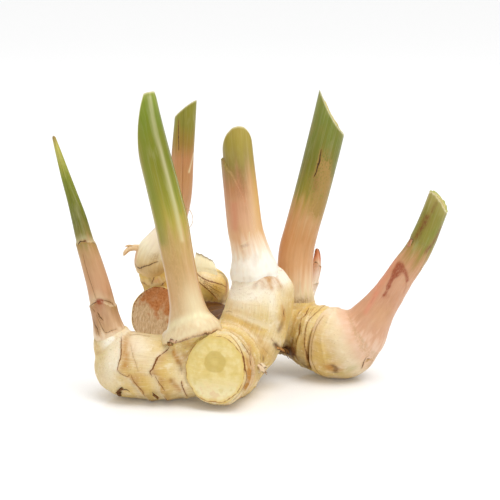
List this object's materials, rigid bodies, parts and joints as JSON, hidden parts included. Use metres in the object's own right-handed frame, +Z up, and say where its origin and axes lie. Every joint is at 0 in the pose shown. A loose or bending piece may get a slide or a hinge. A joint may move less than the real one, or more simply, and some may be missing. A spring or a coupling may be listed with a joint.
{
  "type": "galangal root",
  "caption": "Fresh galangal rhizome with ringed branching limbs, a cut flesh face, a dried brown cut and slanted cut stems, lying free on a surface.",
  "frame": {"origin": "on the supporting surface, under the middle of the whole root's box", "axes": "+Z up, +X towards the root's right end as seen from the cut face, +Y away from the cut face"},
  "size_m": [0.1735, 0.1102, 0.1346],
  "materials": {
    "rhizome_skin": "fresh rhizome skin, cream with thin brown scale edges, satin",
    "young_spear_sheath": "young leaf sheath, tan to green, dry satin",
    "green_sheath": "leaf sheath, green to cream, waxy satin",
    "back_sheath": "leaf sheath, green to pink over a pale knob, satin",
    "blush_sheath": "leaf sheath, olive to blush pink to white, satin",
    "green_tan_sheath": "leaf sheath, green to tan, scuffed satin",
    "pink_sheath": "leaf sheath over a smooth cream bulb, pink with red scars, satin",
    "bud_scale": "small closed bud scale, pink, satin"
  },
  "bodies": {
    "root": {"rhizome": "rhizome_skin", "shoot_left_spear": "young_spear_sheath", "shoot_front_green": "green_sheath", "shoot_back": "back_sheath", "shoot_middle": "blush_sheath", "shoot_right_green": "green_tan_sheath", "shoot_right_pink": "pink_sheath", "side_bud": "bud_scale"}
  },
  "joints": []
}
